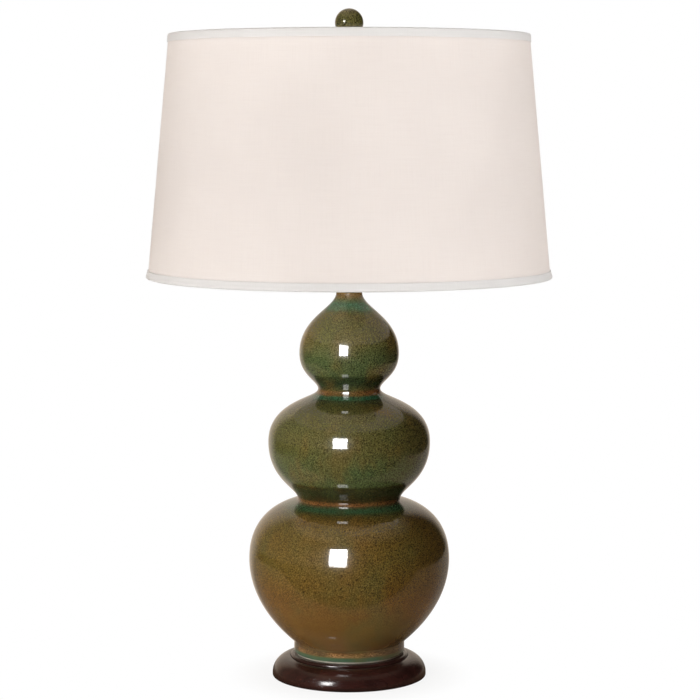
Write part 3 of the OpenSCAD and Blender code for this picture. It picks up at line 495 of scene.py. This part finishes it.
def lap(a, r, height, inner, outer):
    """How far the seam's second layer stands out at the back, with its edge from inner to outer."""
    d = turned(a, REAR) * r
    return height * smooth(d, -outer, -inner) * (1 - smooth(d, inner, outer))


def ripple(a, z, size, scale, seed):
    """Even noise round the lamp."""
    return size * noise.noise(Vector((math.cos(a) * scale, math.sin(a) * scale, z * scale * 4 + seed)))


def fabric_mesh():
    """The cloth's cone, with a lap at the back."""
    rows = 22
    levels = [SHADE_LOW + (SHADE_HIGH - SHADE_LOW) * k / rows for k in range(rows + 1)]
    section = [(shade_r(z), z) for z in levels] + [(shade_r(z) - FABRIC_T, z) for z in reversed(levels)]

    def shift(i, a, r, z):
        if i > rows:
            return r, z
        return r + lap(a, r, 0.45 * MM, 5.8 * MM, 6.6 * MM) + ripple(a, z, 0.16 * MM, 3.0, 1.7), z
    return revolve(section, STEPS, shift)


fabric = make("shade_cloth", *fabric_mesh(), cloth, "shade", "shade_linen", "shade_fabric")

# Folded trim: face, round over the edge, round the ring wire, and inner hem

TRIM_H = 9 * MM
TRIM_T = 0.7 * MM
TRIM_FACE = ((1.0, 0.0), (0.985, 0.22), (0.86, 0.32), (0.72, 0.42), (0.58, 0.55), (0.44, 0.8), (0.3, 1.0))
NOSE = 1.0 * MM
HEM_SHORT = 2 * MM
GLUE = 0.15 * MM
RING_WIRE_R = 1.3 * MM
RING_GAP = 0.1 * MM
RING_IN = WALL + RING_GAP + RING_WIRE_R
RING_EDGE = RING_WIRE_R + 0.4 * MM
ARM_R = 0.21
NOTCH_HALF = 2.2 * MM
ARC = 10


def trim_section(edge_z, up, roll):
    """The tape's closed section at an edge, and the points where its outer and its inner side end.
    TRIM_FACE holds shares of the tape's height and of the roll that stands out."""
    hem_out = GLUE + TRIM_T
    hem_in = -(WALL + RING_GAP)
    fold_r = RING_EDGE + GLUE
    outer_r = fold_r + TRIM_T
    round_out = hem_out + roll + NOSE
    round_up = NOSE + hem_out
    pts = [(hem_out + roll * bulge, TRIM_H * f) for f, bulge in TRIM_FACE]
    for k in range(10):
        a = math.radians(ARC * k)
        pts.append((round_out * math.cos(a) - NOSE, NOSE - round_up * math.sin(a)))
    for k in range(9, 19):
        a = math.radians(ARC * k)
        pts.append((outer_r * math.cos(a) - RING_IN, RING_EDGE - outer_r * math.sin(a)))
    out = len(pts)
    hem_end = TRIM_H - HEM_SHORT
    pts += [(hem_in - TRIM_T, hem_end * 0.6), (hem_in - TRIM_T, hem_end), (hem_in, hem_end)]
    hem = len(pts)
    for k in range(18, 8, -1):
        a = math.radians(ARC * k)
        pts.append((fold_r * math.cos(a) - RING_IN, RING_EDGE - fold_r * math.sin(a)))
    pts += [(GLUE, -GLUE), (GLUE, TRIM_H)]
    section = []
    for x, back in pts:
        z = edge_z - up * back
        section.append((shade_r(z) + x, z))
    return section, out, hem


def trim(name, node, edge_z, up, roll, seed, arms=()):
    """Tape folded round an edge, with a notch in its inner side where each arm passes."""
    section, out, hem = trim_section(edge_z, up, roll)
    start, end = len(TRIM_FACE) + 9, hem + 7

    def shift(i, a, r, z):
        if i >= out:
            return r, z
        r += (lap(a, r, 0.5 * MM, 4.4 * MM, 5 * MM) + ripple(a, z, 0.22 * MM, 9.0, seed)
              + ripple(a, z, 0.1 * MM, 40.0, seed + 3))
        return r, z + ripple(a, 0, 0.25 * MM, 5.0, seed + 9) * (1 if i < 3 else 0.3)

    def skip(i, a):
        return start <= i < end and any(abs(turned(a, arm)) * ARM_R < NOTCH_HALF for arm in arms)
    verts, faces = revolve(section, STEPS, shift, skip)
    n = len(section)
    gap = [k for k in range(STEPS) if skip(start, 2 * math.pi * (k + 0.5) / STEPS)]
    for k in gap:
        m = k + 1
        faces.append((k * n + start, m * n + start, m * n + end, k * n + end))
        if k - 1 not in gap:
            faces.append([k * n + i for i in range(end, start - 1, -1)])
        if m not in gap:
            faces.append([m * n + i for i in range(start, end + 1)])
    if up < 0:
        faces = [f[::-1] for f in faces]
    return make(name, verts, faces, tape, "shade", "shade_tape", node)


ARMS = [math.radians(90 + 120 * k) for k in range(3)]
top_tape = trim("shade_top_tape", "shade_top_trim", SHADE_HIGH, 1, 0.3 * MM, 5.1, ARMS)
low_tape = trim("shade_bottom_tape", "shade_bottom_trim", SHADE_LOW, -1, 1.4 * MM, 8.3)

# Felt disc with a soft cut edge

_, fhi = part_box("felt_pad")
FELT_R = fhi.x
FELT_T = fhi.z
FELT_EYE = 0.0008
FELT_RINGS = 16
FELT_STEPS = 240


def felt_mesh():
    section = [(FELT_EYE, 0.0)] + [(FELT_R * k / FELT_RINGS, 0.0) for k in range(1, FELT_RINGS)]
    section += [(FELT_R - 0.7 * MM, 0.0), (FELT_R - 0.2 * MM, 0.25 * MM), (FELT_R, 0.8 * MM)]
    section += [(FELT_R, FELT_T - 0.4 * MM), (FELT_R - 0.5 * MM, FELT_T)]
    section += [(FELT_R * k / 8, FELT_T) for k in range(7, 0, -1)] + [(FELT_EYE, FELT_T)]

    def shift(i, a, r, z):
        if 1 <= i <= FELT_RINGS:
            z += 0.05 * MM + ripple(a, r, 0.05 * MM, 14.0, 2.2)
        if FELT_RINGS < i <= FELT_RINGS + 3:
            r += ripple(a, z, 0.15 * MM, 30.0, 4.0) - 0.15 * MM
        return r, z
    return revolve(section, FELT_STEPS, shift)


felt_disc = make("felt_disc", *felt_mesh(), green_felt, "lamp_base", "felt", "felt_pad")


# Floor and studio. The camera sees white. The glaze, wood and metal reflect a studio with a warm white
# backdrop behind, a dim wall at the left, dark at the right and in front, and a table.

BACKDROP_TINT = (0.96, 0.82, 0.68, 1)
WALL_TINT = (1.0, 0.78, 0.56, 1)
TABLE_TINT = (1.0, 0.66, 0.42, 1)
TABLE_FRONT = (-0.21, -0.175)
TABLE_SIDE = (1.12, 1.02)
TABLE_REACH = (0.08, 0.20)
SHADOW_RING = (0.095, 0.16)
FLOOR_SIZE = 40


def heading(s, x, y):
    """The distance from the axis, and its shares to the right and to the back."""
    away = s.sum("SQRT", s.sum("ADD", s.product(x, x), s.product(y, y)))
    return away, s.sum("DIVIDE", x, away), s.sum("DIVIDE", y, away)


def backdrop(s, side, turn):
    """How bright the backdrop is by direction. It starts sooner at the left."""
    lo = s.span(side, -0.25, 0.25, 0.50, 0.80)
    hi = s.span(side, -0.25, 0.25, 0.88, 0.99)
    return s.span(turn, lo, hi, 0.02, s.span(side, -0.3, 0.3, 0.8, 0.72))


def stage_floor():
    """Takes the lamp's shadow near the base, fades to white, and is a table to glossy rays."""
    s = Shade("floor")
    x, y, _ = s.xyz()
    away, side, turn = heading(s, x, y)
    rays = s.add("LightPath")
    pale = s.mix(s.noise(6, 2), rgb(243, 243, 242), rgb(240, 240, 239))
    tone = s.mix(rays.outputs["Is Diffuse Ray"], pale, rgb(236, 234, 230))
    cover = s.principled(Base_Color=tone, Roughness=0.9, Specular_IOR_Level=0.1)
    glow = s.add("Emission")
    glow.inputs["Strength"].default_value = 1.0
    seen = s.blend(s.span(away, *SHADOW_RING, 0.88, 1.0), cover, glow.outputs[0])
    table = s.product(s.span(y, *TABLE_FRONT), s.span(s.sum("ABSOLUTE", x), *TABLE_SIDE))
    table = s.product(table, s.span(away, *TABLE_REACH, 0.09, 0.33))
    back = s.add("Emission")
    s.put(back.inputs["Strength"], s.sum("MAXIMUM", backdrop(s, side, turn), table))
    s.put(back.inputs["Color"], s.mix(s.span(turn, 0.1, 0.7), TABLE_TINT, BACKDROP_TINT))
    shiny = s.blend(rays.outputs["Is Glossy Ray"], cover, back.outputs[0])
    mat = s.end(s.blend(rays.outputs["Is Camera Ray"], shiny, seen))
    bpy.ops.mesh.primitive_plane_add(size=FLOOR_SIZE)
    floor = bpy.context.object
    floor.name = "floor"
    floor.data.materials.append(mat)
    return floor


floor = stage_floor()


def studio():
    """White to the camera and through glass, and the dim studio to every other ray."""
    world = bpy.data.worlds.new("studio")
    bpy.context.scene.world = world
    world.use_nodes = True
    s = Shade("studio", world.node_tree)
    x, y, z = s.xyz(s.add("TexCoord").outputs["Generated"])
    _, side, turn = heading(s, x, y)
    wall = s.span(side, -0.88, -0.40, 0.22, 0.0)
    top = s.product(s.span(z, 0.60, 0.86), s.span(x, -0.4, 0.3, 0.7, 0.35))
    level = s.sum("MAXIMUM", s.sum("MAXIMUM", backdrop(s, side, turn), wall), top)
    rays = s.add("LightPath")
    env = s.add("Background")
    s.put(env.inputs["Strength"], level)
    s.put(env.inputs["Color"], s.mix(s.span(turn, 0.72, 0.98), WALL_TINT, BACKDROP_TINT))
    sky = s.add("Background")
    sky.inputs["Strength"].default_value = 1.0
    sky.inputs["Color"].default_value = (1, 1, 1, 1)
    seen = s.sum("MAXIMUM", rays.outputs["Is Camera Ray"], rays.outputs["Is Transmission Ray"])
    mixed = s.blend(seen, env.outputs[0], sky.outputs[0])
    s.put(s.add("OutputWorld").inputs["Surface"], mixed)


studio()

# Lights. Each one is linked to a group of pieces. A glint shows only as a highlight.


def group(name, pieces):
    made = bpy.data.collections.new(name)
    for piece in pieces:
        made.objects.link(piece)
    return made


SHADE_WIRES = ("shade_backing", "shade_spider", "shade_bottom_ring")
METALS = (brass, harp_brass, steel, nickel, pipe)
shade_set = group("shade_set", [fabric, top_tape, low_tape] + [NODES[n] for n in SHADE_WIRES])
body_set = group("body_set", [obj for obj in NODES.values() if obj.name not in shade_set.objects]
                 + [floor, felt_disc])
wood_set = group("wood_set", [NODES["wood_base"]])
ball_set = group("ball_set", [NODES["finial_ball"]])
metal_set = group("metal_set", [obj for name, obj in NODES.items() if MATERIALS[name] in METALS])
OWN_GLINT = [obj.name for own in (wood_set, ball_set, metal_set) for obj in own.objects]
gloss_set = group("gloss_set", [obj for obj in list(shade_set.objects) + list(body_set.objects)
                                if obj.name not in OWN_GLINT])


def soft_light(name, at, aim, size, power, colour=(1, 1, 1), diffuse=True, glossy=True, only=None,
               shadows=None):
    """An area light turned to a point. only holds what it lights, and shadows what stands in its way."""
    data = bpy.data.lights.new(name, "AREA")
    data.shape = "RECTANGLE"
    data.size, data.size_y = size
    data.energy = power
    data.color = colour
    obj = bpy.data.objects.new(name, data)
    bpy.context.scene.collection.objects.link(obj)
    obj.location = at
    obj.rotation_euler = (Vector(aim) - Vector(at)).to_track_quat("-Z", "Y").to_euler()
    obj.visible_camera = False
    obj.visible_diffuse = diffuse
    obj.visible_glossy = glossy
    obj.light_linking.receiver_collection = only
    obj.light_linking.blocker_collection = shadows


AT_BASE, AT_BODY, AT_BALL = (0, 0, 0.02), (0, 0, 0.42), (0, 0, 0.8)
BALL_TINT = (1, 0.98, 0.86)
soft_light("key", (-1.35, -2.05, 0.62), (0, 0, 0.25), (1.6, 1.0), 52, glossy=False, only=body_set)
soft_light("key_glint", (-0.53, -2.34, 0.955), AT_BODY, (0.84, 1.3), 130, diffuse=False,
           only=gloss_set, shadows=body_set)
soft_light("wood_glint", (-1.25, -1.85, 0.86), AT_BASE, (0.6, 0.8), 56, diffuse=False, only=wood_set)
soft_light("ball_glint", (-1.5, -1.75, 1.2), AT_BALL, (0.62, 0.62), 24, BALL_TINT, diffuse=False,
           only=ball_set)
soft_light("metal_glint", (-0.8, -2.2, 1.0), (0, 0, 0.55), (1.8, 1.6), 26, diffuse=False, only=metal_set)
soft_light("ball_fill", (1.1, -2.1, 0.9), AT_BALL, (1.2, 1.0), 18, glossy=False, only=ball_set)
soft_light("wood_fill", (1.5, -1.7, 0.7), AT_BASE, (1.2, 0.8), 16, glossy=False, only=wood_set)
soft_light("back_light", (0.5, 2.6, 0.5), (0, 0, 0.35), (2.4, 0.9), 34, glossy=False, only=body_set)

# Even light all round the shade: degrees from the front and watts

SHADE_LIGHTS = (("shade_front", -16, 51.5), ("shade_left", -85, 21), ("shade_right", 74, 53),
                ("shade_rear", 180, 42))
SHADE_LIGHT_AWAY = 2.4
SHADE_LIGHT_Z = 0.62
for name, turn, power in SHADE_LIGHTS:
    a = math.radians(turn)
    at = (SHADE_LIGHT_AWAY * math.sin(a), -SHADE_LIGHT_AWAY * math.cos(a), SHADE_LIGHT_Z)
    soft_light(name, at, (0, 0, 0.63), (1.6, 1.6), power, glossy=False, only=shade_set)
